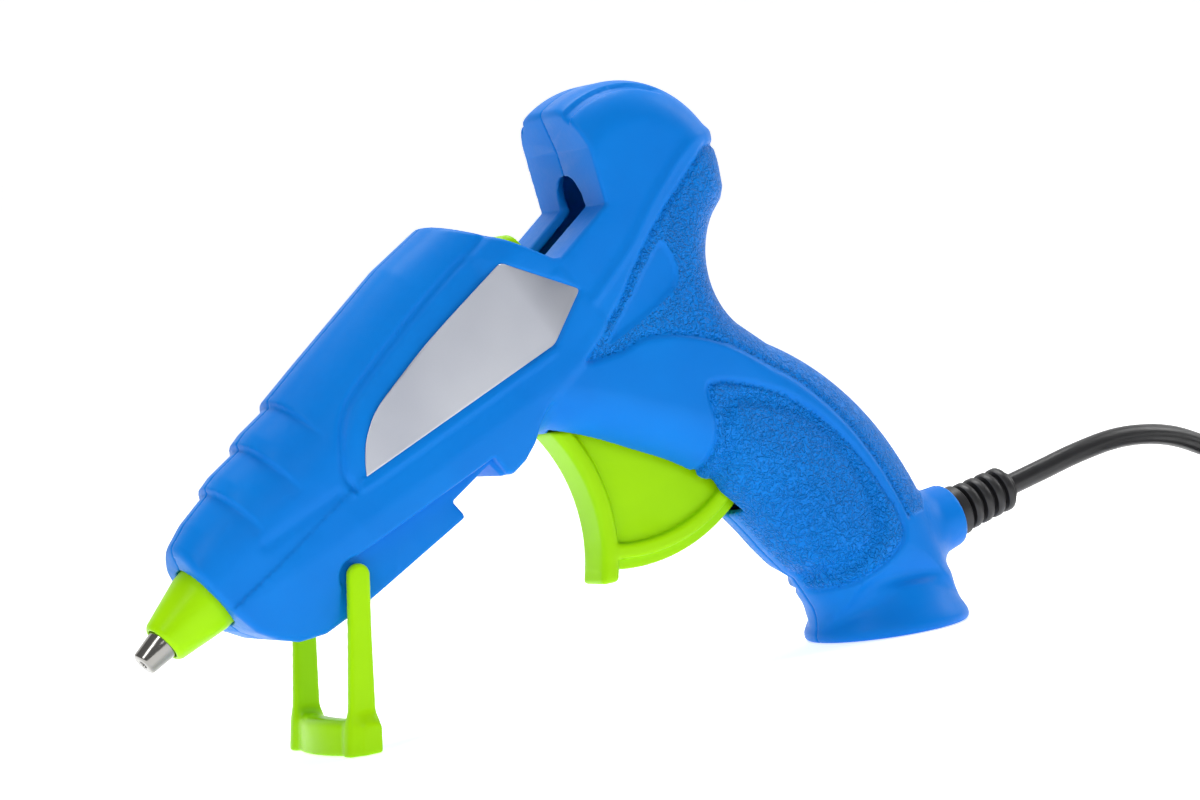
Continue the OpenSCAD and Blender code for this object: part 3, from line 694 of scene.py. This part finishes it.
def flank_marks(g):
    """How deep the flank's grooves and panels are cut, and where the grip grain is, over x and z."""
    x, z = g.x, g.z
    s, r = stick_frame(x, z)
    crest, hump_ridge, line_top, line_back, groove = (
        smooth_path(points, 6) for points in (CREST, HUMP_RIDGE, HUMP_LINE, BACK_LINE, GRIP_GROOVE)
    )
    depth = 0.9 * mark(line_distance(crest, x, z), 0.95)
    depth -= 0.35 * mark(line_distance(PANEL_EDGE, x, z), 0.7)
    depth += 0.55 * mark(line_distance(NOSE_CREASE, x, z), 1.5)
    depth -= 0.55 * mark(line_distance(hump_ridge, x, z), 1.3)
    past_the_back = [(79, 29.5), (86, 36), (100, 60), (100, 110), (46, 127.6)]
    back_skin = polygon_distance([*line_top, *line_back, *past_the_back], x, z)
    depth += 0.45 * soft_step(-back_skin, -0.5, 0.5)
    top_mark, back_mark = (mark(line_distance(line, x, z), 0.75) for line in (line_top, line_back))
    depth += 0.7 * top_mark + 0.7 * back_mark
    leaf = polygon_distance(smooth_path(LEAF, 6, closed=True), x, z)
    depth += 0.75 * soft_step(-leaf, -0.3, 1.4)
    grip = polygon_distance(smooth_path(GRIP_OUTER, 5, closed=True), x, z)
    depth += 0.85 * mark(grip, 0.75) - 0.25 * soft_step(-grip, -0.4, 0.8)
    depth += 1.15 * mark(line_distance(groove, x, z), 1.9)
    for place, fade in SCALES:
        behind = s - place
        notch = np.clip(1 - behind / 9, 0, 1) * soft_step(behind, -0.4, 0.5)
        depth += 1.55 * notch * np.clip((r - fade) / 11, 0, 1)
    skin = np.minimum(np.maximum(back_skin, -leaf), grip)
    grain = 1 - soft_step(skin, -0.5, 0.1)
    return depth, grain


def barrel(g):
    """The front of the gun: a crowned top, flanks with a ridge, and the keel under them."""
    s, r = stick_frame(g.x, g.z)
    stations, tops = [20, 33, 49, 79, 91, 104, 117, 134], [23.2, 23.5, 24.4, 22.6, 21.7, 19.9, 18.1, 13.7]
    top = np.interp(s, stations, tops)
    width = np.interp(s, [90, 100, 120, 136], [HALF_W, 17.2, 15.1, 11.9])
    crown_base = -3.0
    high = g.deep(np.maximum(r - crown_base, 0))
    crown_h = g.deep(top - crown_base)
    crown_w = g.deep(width)
    square = 2.25  # how square the crown's shoulders are: 2 is an ellipse
    across, up = np.abs(g.y) / crown_w, high / crown_h
    k = np.maximum((across**square + up**square) ** (1 / square), 1e-6)
    slope = np.maximum(np.hypot(across ** (square - 1) / crown_w, up ** (square - 1) / crown_h), 1e-6)
    crown = (k - 1) * k ** (square - 1) / slope
    from_ridge = [-30, -12, -5, -0.6, 0.6, 5.2, 6.4, 30]
    half_widths = [14.6, 16.3, 17.5, 18.0, 18.0, 17.5, 17.45, 17.45]
    flank_w = np.interp(line_side(RIDGE, g.x, g.z), from_ridge, half_widths) + (width - HALF_W)
    flank = np.abs(g.y) - g.deep(flank_w)
    solid = np.where(g.deep(r) > crown_base, both(crown, flank, 1.2), flank)
    # along and above the stick axis
    nose = [(20, 40), (134.0, 40), (132.6, 13.6), (134.2, 8.6), (134.7, 3), (134.6, -5), (133.6, -11.5),
            (131, -16.5), (127.6, -20.6), (122, -23.7), (114, -25.0)]
    keel = [(78.6, -29.1), (78.0, -28.5), (78.0, -24.2), (65, -24.7), (64.8, -28.8), (62.5, -30.3),
            (58, -30.3), (53.5, -29), (49.5, -26.8), (45, -25), (30, -24), (20, -24)]
    side = polygon_distance(nose + keel, s, r)
    return both(solid, g.deep(side), 1.6)


def handle_outline():
    """The hump, the handle and the heel of the foot from the side, as (x, z)."""
    front_centre, front_r = FRONT
    swell = 1.9  # how much fuller the front is at the grip than above the trigger
    front = []
    for a in range(34, 77):
        front += arc(front_centre, front_r + swell * soft_step(64 - a, 0, 14), a, a, 1)
    return (
        [(-40, 90), (-40, 112)]
        + arc(*HUMP, 160, 6, 78)
        + [(39.3, 116.8), (38.1, 113.2)]
        + arc(*WAIST, 145, 225, 42)
        + arc(*BACK, 62, 10, 40)
        + [(89.4, 12), (88.6, 6), (52.5, 6), (49.5, 12), (46.5, 17.5), (43.4, 20.0)]
        + front
        + [(-24.5, 63.6), (-29, 61.4), (-33, 60)]
    )


def foot(g):
    """The flared round foot."""
    x, z = g.deep(g.x), g.deep(g.z)
    out = np.hypot(x - FOOT_X, g.y)
    heights = [-2, 0.0, 1.2, 2.4, 4, 6, 8, 11, 15]
    radii = [20.9, 20.7, 21.1, 21.0, 20.2, 19.0, 18.0, 16.8, 15]
    return both(out - np.interp(z, heights, radii), np.maximum(-z, z - 12), 0.8)


def cord_boss(g):
    """The boss that the cord leaves by, and the bore in it."""
    x, z = g.deep(g.x), g.deep(g.z)
    t = (x - RELIEF_FROM[0]) * math.cos(RELIEF_UP) + (z - RELIEF_FROM[1]) * math.sin(RELIEF_UP)
    r = -(x - RELIEF_FROM[0]) * math.sin(RELIEF_UP) + (z - RELIEF_FROM[1]) * math.cos(RELIEF_UP)
    out = np.hypot(r, g.y)
    boss = both(out - (8.2 - 0.1 * t), np.maximum(t, -18 - t), 0.9)
    return boss, np.maximum(out - 6.0, -12 - t)


def housing_outside(g):
    """The solid that both halves are cut from, the grip grain over x and z, and the cord's bore."""
    depth, grain = flank_marks(g)
    edge_depth = g.deep(np.interp(g.z, [6, 14, 26, 45, 60, 75], [19.5, 18.5, 19.0, 18.0, 15.0, 12.0]))
    edge_height = g.deep(np.interp(g.z, [6, 40, 70, 110, 130], [17.3, 17.0, 15.5, 15.5, 12.0]))
    from_outline = g.deep(polygon_distance(handle_outline(), g.x, g.z))
    body = crowned(from_outline, np.abs(g.y) - HALF_W, edge_depth, edge_height)
    solid = join(barrel(g), body, 1.5)
    solid = join(solid, foot(g), 4.0)
    boss, bore = cord_boss(g)
    solid = join(solid, boss, 3.5)
    # flutes along the top of the hump, one on each half
    about = np.hypot(g.x - HUMP[0][0], g.z - HUMP[0][1])
    angle = np.degrees(np.arctan2(g.z - HUMP[0][1], g.x - HUMP[0][0]))
    flute = 1 - soft_step(np.abs(g.y - 11.7), 0.75, 1.35)
    flute = flute * g.deep((about > 12) * soft_step(angle, 62, 70) * (1 - soft_step(angle, 165, 172)))
    solid = solid + 0.8 * flute
    # the scale steps run right over the nose, and the other marks stay off the parting line
    side_only = soft_step(g.y, 1.0, 5.0)
    steps = depth * (stick_frame(g.x, g.z)[0] > 88)
    solid = solid + g.deep(depth - steps) * side_only + g.deep(steps)
    return solid, grain, bore


def cut(solid, hole, radius):
    """The solid without the hole, its edge rounded."""
    return both(solid, -hole, radius)


def leg_room(g):
    """The room beside the keel for a leg of the stand: round its pivot, folded, and standing."""
    x, z = g.x, g.z
    s, r = stick_frame(x, z)
    hub = np.hypot(x - STAND_X, z - STAND_Z) - 4.3
    folded = polygon_distance([(108, -14.4), (64, -23.4), (64, -60), (108, -60)], s, r)
    along = (x - STAND_X) * math.sin(-LEAN) - (z - STAND_Z) * math.cos(LEAN)
    across = (x - STAND_X) * math.cos(LEAN) + (z - STAND_Z) * math.sin(-LEAN)
    standing = np.maximum(np.abs(across - 1.2) - 4.6, -along)
    room = np.minimum(np.minimum(hub, folded), standing)
    return np.maximum(g.deep(room), 14.1 - g.y)


def inlet_trough(x, z):
    """The open trough between the nose and the hump, where the glue stick shows."""
    floor = [(-17.4, 107.2), (-15.6, 106.2), (-13.8, 106.2), (-12, 107.4), (0.6, 117.2)]
    sky = [(-1.5, 131), (-4.3, 139.6), (-8, 170), (-140, 170), (-58, 126.6), (-40.1, 118.1), (-27, 112.4)]
    return polygon_distance(floor + sky, x, z)


def stick_bore(g, s, r):
    """The round way for the glue stick from the hump's back to the sleeve."""
    bore = np.hypot(g.deep(r), g.y) - 6.1
    return np.maximum(bore, g.deep(s - 44))


def inlet_slot(g, s, r, trough):
    """The slot above that way, along the floor of the trough."""
    box = np.maximum(np.maximum(-s - 1, s - 31), np.maximum(-1 - r, r - 13))
    slot = np.maximum(np.abs(g.y) - 6.1, g.deep(box))
    return np.maximum(slot, g.deep(trough - 14))


def trigger_slot(g):
    """The slot that the trigger swings in."""
    x, z = g.x, g.z
    (px, pz), (fx, fz) = TRIGGER_PIVOT, FINGER
    sweep = np.maximum(np.hypot(x - px, z - pz) - 46.4, -(z - 20))
    finger_side = np.hypot(x - fx, z - fz) - 42
    throat = polygon_distance([(-19, 50), (-19, 72), (4, 80), (30, 78), (60, 60), (60, 20), (-8, 20)], x, z)
    flat = np.maximum(np.maximum(sweep, -finger_side), throat)
    return np.maximum(np.abs(g.y) - 6.4, g.deep(flat))


def label_recess(g):
    outline = polygon_distance(LABEL_OUTLINE, g.x, g.z) - 0.3
    return np.maximum(g.deep(outline), LABEL_Y - g.y)


def housing_half(g, solid, bore, screw_heads):
    """One half of the housing, hollow, with its openings."""
    x, z = g.x, g.z
    s, r = stick_frame(x, z)
    trough = inlet_trough(x, z)
    out = cut(solid, g.deep(trough), 0.9)
    out = cut(out, leg_room(g), 0.7)
    hollow = out + WALL
    for place, radius, _ in SCREWS:
        hollow = np.maximum(hollow, g.deep(radius - np.hypot(x - place[0], z - place[1])))
    hollow = np.maximum(hollow, SOLE - g.deep(z))
    out = np.maximum(out, -hollow)
    out = cut(out, stick_bore(g, s, r), 0.5)
    out = cut(out, inlet_slot(g, s, r, trough), 0.5)
    out = cut(out, trigger_slot(g), 0.5)
    nose_bore = np.maximum(np.hypot(g.deep(r), g.y) - 8.75, g.deep(127 - s))
    out = cut(out, nose_bore, 0.3)
    out = cut(out, bore, 0.3)
    out = cut(out, label_recess(g), 0.1)
    stand_pin = g.deep(np.hypot(s - STAND_PIVOT[0], r - STAND_PIVOT[1])) - 1.95
    out = cut(out, stand_pin, 0.1)
    if screw_heads:
        for place, _, top in SCREWS:
            hole = np.maximum(g.deep(np.hypot(x - place[0], z - place[1])) - 3.4, top - 2.25 - g.y)
            out = cut(out, hole, 0.3)
    return np.maximum(out, 0.04 - g.y)


def make_screws():
    """Meant as seven pan-head screws from the right side, their heads recessed in the middle.

    Known fault: their axis is y, which lathe can't turn about, so they all collapse to one point.
    """
    shank_end, shank_r, head_r, head = -8.5, 1.3, 2.9, 2.2
    vertices, faces = [], []
    for (x, z), _, top in SCREWS:
        long = top - shank_end
        profile = [(0, shank_r), (long - head, shank_r), (long - head, head_r), (long - 0.3, head_r),
                   (long, head_r - 0.3), (long, shank_r), (long - 1.3, 1.1)]
        one, its_faces = lathe(profile, (x, shank_end, z), (0, 1, 0), 32)
        faces += [tuple(len(vertices) + k for k in face) for face in its_faces]
        vertices += [tuple(v) for v in one]
    screws = make_mesh("screw_set", vertices, faces, STEEL, "housing", 35)
    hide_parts("housing_screws")


def make_housing():
    """Both halves: the left shell, and the right shell with the screw heads in it."""
    step = 0.5
    g = Field((-121, -1.1, -2.2), (99.5, 24.5, 149.5), step)
    solid, grain, bore = housing_outside(g)
    halves = (("housing_left", "left_shell", -1, False), ("housing_right", "right_shell", 1, True))
    for name, node, side, screw_heads in halves:
        vertices, quads = surface(g, housing_half(g, solid, bore, screw_heads))
        # the parting face, made flat
        vertices[:, 1] = np.where(vertices[:, 1] < 0.45 * step, 0.03, vertices[:, 1])
        grip = sampled(g, grain, vertices) * soft_step(vertices[:, 1], 2.0, 5.0)
        vertices[:, 1] *= side
        vertices[:, 2] = np.maximum(vertices[:, 2], 0.0)
        if side < 0:
            quads = quads[:, ::-1]
        piece = make_mesh(name, vertices, quads, BLUE, "housing", 50, {"grip": grip})
        lighter(piece, 0.35)
        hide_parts(node)


make_housing()


def copied(field_low, field_high, step, solid_of):
    """Vertices and faces of a small solid from its own field."""
    g = Field(field_low, field_high, step)
    return surface(g, solid_of(g))


# ---- Trigger ----
def trigger_solid(g):
    """A finger pad, a web with a rib along its edge, a hub, and two forked arms that move the carriage."""
    x, z = g.x, g.z
    (px, pz), (fx, fz) = TRIGGER_PIVOT, FINGER
    side = np.abs(g.y)
    arc_in = np.abs(np.hypot(x - fx, z - fz) - 44.3) - 2.3
    pad = both(g.deep(both(arc_in, np.maximum(np.maximum(26 - z, z - 65), x), 1.0)), side - 5.8, 1.6)
    round_pivot = np.hypot(x - px, z - pz)
    plate = polygon_distance([(-9, 27), (60, 27), (60, 47), (12, 70), (-14, 66), (-5.5, 44)], x, z)
    web = both(g.deep(np.maximum(round_pivot - 44.6, plate)), side - 3.8, 0.8)
    band = polygon_distance([(-7, 27), (60, 27), (60, 46), (-5, 46)], x, z)
    rib = both(g.deep(np.maximum(np.abs(round_pivot - 40.05) - 1.85, band)), side - 5.8, 0.9)
    hub = both(g.deep(round_pivot - 6.4), side - 12.3, 0.4)
    turn = TILT - ARM_LEAN
    up = -(x - px) * math.sin(turn) + (z - pz) * math.cos(turn)
    level = (x - px) * math.cos(turn) + (z - pz) * math.sin(turn)
    reach = np.clip(up, 0, ARM)
    arm = np.hypot(level, up - reach) - 3.7
    notch = np.maximum(np.abs(level) - 1.7, 26.2 - up)
    arms = both(g.deep(np.maximum(arm, -notch)), np.abs(side - 11.1) - 1.2, 0.4)
    solid = join(join(pad, web, 0.9), rib, 0.4)
    solid = np.minimum(np.minimum(solid, hub), arms)
    return np.maximum(solid, g.deep(2.05 - round_pivot))


def make_trigger():
    vertices, quads = copied((-23, -13, 24.5), (46, 13, 106), 0.5, trigger_solid)
    trigger = make_mesh("trigger_lever", vertices, quads, LIME, "trigger", 50)
    lighter(trigger, 0.35)
    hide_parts("trigger")


# ---- Stand ----
def stand_solid(g):
    """Two legs on pins, and the bar between their feet, bowed forward, in the leaning legs' own x and z."""
    dx, dz = g.deep(g.x) - STAND_X, g.deep(g.z) - STAND_Z
    x = dx * math.cos(LEAN) - dz * math.sin(LEAN)
    z = dx * math.sin(LEAN) + dz * math.cos(LEAN)
    side = np.abs(g.y)
    length = STAND_Z / math.cos(LEAN)
    half = np.interp(z, [-length, -30, -12, 0], [4.0, 3.2, 2.75, 2.7])
    leg = np.hypot(x, np.maximum(z, 0)) - half
    leg = both(np.maximum(leg, -z - length - 2), np.abs(side - 15.95) - 1.5, 1.0)
    peg = np.maximum(np.hypot(x, z) - 1.9, np.maximum(12.6 - side, side - 16))
    bow = np.hypot(x - 39, g.y)
    bar = np.maximum(np.abs(bow - 40.6) - 3.6, x - 3.4)
    top = -length + 7.9
    bar = both(np.maximum(bar, side - 19.6), z - top, 2.0)
    solid = join(leg, bar, 3.0)
    solid = np.maximum(solid, side - 19.5)
    solid = np.minimum(solid, peg)
    return both(solid, 0.02 - g.deep(g.z), 0.5)


def make_stand():
    vertices, quads = copied((-101, -20.5, -1), (-71, 20.5, 46.5), 0.45, stand_solid)
    stand = make_mesh("stand_frame", vertices, quads, LIME, "stand", 50)
    lighter(stand, 0.4)
    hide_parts("stand")


# ---- Nozzle end ----
FORWARD = (-math.cos(TILT), 0, -math.sin(TILT))
AXIS_START = (0, 0, AXIS_Z)


def make_guard():
    """The lime cone that the nozzle stands out of, with a collar in the nose."""
    profile = [(131, 7.6), (131, 10), (132.7, 10), (132.8, 8.4), (135.8, 8.35), (148.0, 5.65), (148.9, 4.9),
               (148.8, 4.2), (133.5, 7.15), (132.9, 7.6)]
    vertices, faces = lathe(rounded(profile, 0.45, 3), AXIS_START, FORWARD, 96)
    guard = make_mesh("nozzle_guard_cone", vertices, faces, LIME, "housing", 40)
    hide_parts("nozzle_guard")


def make_nozzle():
    outside = [(118.7, 2.45), (118.7, 3.9), (127, 3.9), (127.1, 6.6), (131, 6.7), (131.2, 6.2), (133, 6.2),
               (141, 4.95), (149.6, 3.8), (154.9, 3.1), (155.25, 2.9), (TIP_S, 2.6)]
    bore = [(155.35, 1.1), (154.9, 0.95), (141, 0.95), (138, 2.35)]
    vertices, faces = lathe(outside + bore, AXIS_START, FORWARD, 96)
    nozzle = make_mesh("nozzle_tip", vertices, faces, TIP, "housing", 35)
    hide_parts("nozzle")


def make_front_insulator():
    ring = [(120.2, 9.35), (120, 9.6), (120.3, 9.9), (125.7, 9.9), (126, 9.6), (125.8, 9.35)]
    vertices, faces = lathe(ring, AXIS_START, FORWARD, 64)
    insulator = make_mesh("insulator_ring", vertices, faces, CERAMIC, "housing", 35)
    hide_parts("front_insulator")


# ---- Feed carriage: the sleeve that the trigger moves, its top seen in the inlet trough ----
def carriage_solid(g):
    """A sleeve round the stick, with an arm down to the trigger's pin and room for the jaw."""
    s, r = stick_frame(g.x, g.z)
    side = np.abs(g.y)
    across = g.deep(r)
    dome = both(side - 9.3, np.maximum(across - 8.9, -across - 12.3), 3.2)
    length = g.deep(np.maximum(20.1 - s, s - 38.9))
    sleeve = both(dome, length, 1.0)
    pivot_s, pivot_r = stick_frame(*TRIGGER_PIVOT)
    pin_s, pin_r = pivot_s - ARM * math.tan(ARM_LEAN), pivot_r + ARM
    arm = g.deep(np.maximum(np.maximum(pin_s - 3.1 - s, s - 38.9), np.maximum(-12.3 - r, r + 5.6)))
    solid = join(both(arm, side - 9.2, 0.6), sleeve, 0.6)
    solid = np.maximum(solid, 6.15 - np.hypot(g.y, across))
    solid = np.maximum(solid, g.deep(1.5 - np.hypot(s - pin_s, r - pin_r)))
    jaw_room = np.maximum(g.deep(np.maximum(np.maximum(27 - s, s - 41), r)), side - 2.9)
    return np.maximum(solid, -jaw_room)


def make_carriage():
    vertices, quads = copied((-36, -10, 79), (-3, 10, 118), 0.5, carriage_solid)
    carriage = make_mesh("feed_sleeve", vertices, quads, LIME, "carriage", 50)
    lighter(carriage, 0.4)
    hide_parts("feed_carriage")


# ---- Labels: plain silver plates, their edges eased ----
def make_label(side, name, node):
    curve = smooth_path(LABEL_OUTLINE[3:] + LABEL_OUTLINE[:1], 5)
    path = LABEL_OUTLINE[:3] + [tuple(p) for p in curve[:-1]]
    path = rounded([path[-1]] + path + [path[0]], 1.1, 3)[1:-1]
    centre = np.mean(path, axis=0)
    rings = [(0.0, 17.1), (0.0, 17.28), (0.12, 17.345)]  # (inset, y)
    vertices = []
    for inset, y in rings:
        for p in path:
            x, z = np.array(p) + (centre - p) / np.linalg.norm(centre - p) * inset
            vertices.append((x, side * y, z))
    n = len(path)
    faces = [
        (i * n + k, i * n + (k + 1) % n, (i + 1) * n + (k + 1) % n, (i + 1) * n + k)
        for i in range(len(rings) - 1)
        for k in range(n)
    ]
    faces += [tuple(range(n))[::-1], tuple(range(2 * n, 3 * n))]
    if side > 0:
        faces = [face[::-1] for face in faces]
    label = make_mesh(name, vertices, faces, LABEL, "housing", 30)
    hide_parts(node)


make_trigger()
make_carriage()
make_stand()
make_guard()
make_nozzle()
make_screws()
make_front_insulator()
make_label(-1, "label_plate_left", "label_left")
make_label(1, "label_plate_right", "label_right")


# ---- Finishes on the CAD solids that stay ----
FINISHES = {
    "silver_label": LABEL, "steel": STEEL, "nozzle_metal": TIP, "cast_aluminium": CAST,
    "ceramic": CERAMIC, "silicone": SILICONE, "lime_plastic": LIME, "wire_brown": WIRE,
    "brass_tube": BRASS, "black_plastic": NYLON, "black_rubber": RUBBER, "nickel": NICKEL,
    "blue_plastic": BLUE,
}
for part in frame["record"]["subparts"]:
    cad = frame["nodes"][part["node"]]
    cad.data.materials.clear()
    cad.data.materials.append(FINISHES[part["material_slot"]])


# ---- Floor and light ----
def add_floor():
    """A white sweep: a floor that curves up into a backdrop, both faintly lit from within."""
    mesh = bpy.data.meshes.new("floor")
    near, far, wide, bend, high, under = -2.6, 3.0, 7.0, 1.2, 5.0, 0.0001
    sweep = [(near, 0.0), (far, 0.0)]
    for a in np.linspace(0.1, math.pi / 2, 12):
        sweep.append((far + bend * math.sin(a), bend * (1 - math.cos(a))))
    sweep += [(far + bend, high)]
    turn = Matrix.Rotation(math.radians(-28), 4, "Z")
    vertices, faces = [], []
    for y, z in sweep:
        vertices += [tuple(turn @ Vector((side * wide, y, z - under))) for side in (-1, 1)]
    for i in range(len(sweep) - 1):
        faces.append((2 * i, 2 * i + 1, 2 * i + 3, 2 * i + 2))
    mesh.from_pydata(vertices, [], faces)
    mesh.shade_smooth()
    paint = Shader("floor_paint", srgb("F4F4F4"), 0.8, specular=0.1)
    paint.set("Emission Color", (1, 1, 1, 1))
    paint.set("Emission Strength", 0.6)
    mesh.materials.append(paint.material)
    floor = bpy.data.objects.new("floor", mesh)
    bpy.context.scene.collection.objects.link(floor)


def add_light(name, place, target, size, power):
    data = bpy.data.lights.new(name, "AREA")
    data.shape = "RECTANGLE"
    data.size, data.size_y = size
    data.energy = power
    light = bpy.data.objects.new(name, data)
    light.location = place
    direction = Vector(target) - Vector(place)
    light.rotation_euler = direction.to_track_quat("-Z", "Y").to_euler()
    bpy.context.scene.collection.objects.link(light)


add_floor()
# (name, place, target, size, power)
add_light("top", (0.15, 0.25, 1.1), (0, 0, 0.06), (0.7, 0.4), 9.5)
add_light("right_strip", (1.1, -0.1, 0.7), (0, 0, 0.06), (0.3, 0.8), 4)
add_light("left_strip", (-0.9, -0.5, 0.8), (0, 0, 0.08), (0.25, 0.7), 3)
add_light("front", (-0.3, -1.3, 0.7), (0, 0, 0.06), (0.4, 0.4), 1.8)

world = bpy.data.worlds.new("studio")
world.use_nodes = True
world.node_tree.nodes["Background"].inputs["Color"].default_value = (1, 1, 1, 1)
world.node_tree.nodes["Background"].inputs["Strength"].default_value = 0.24
bpy.context.scene.world = world
bpy.context.scene.view_settings.view_transform = "Standard"
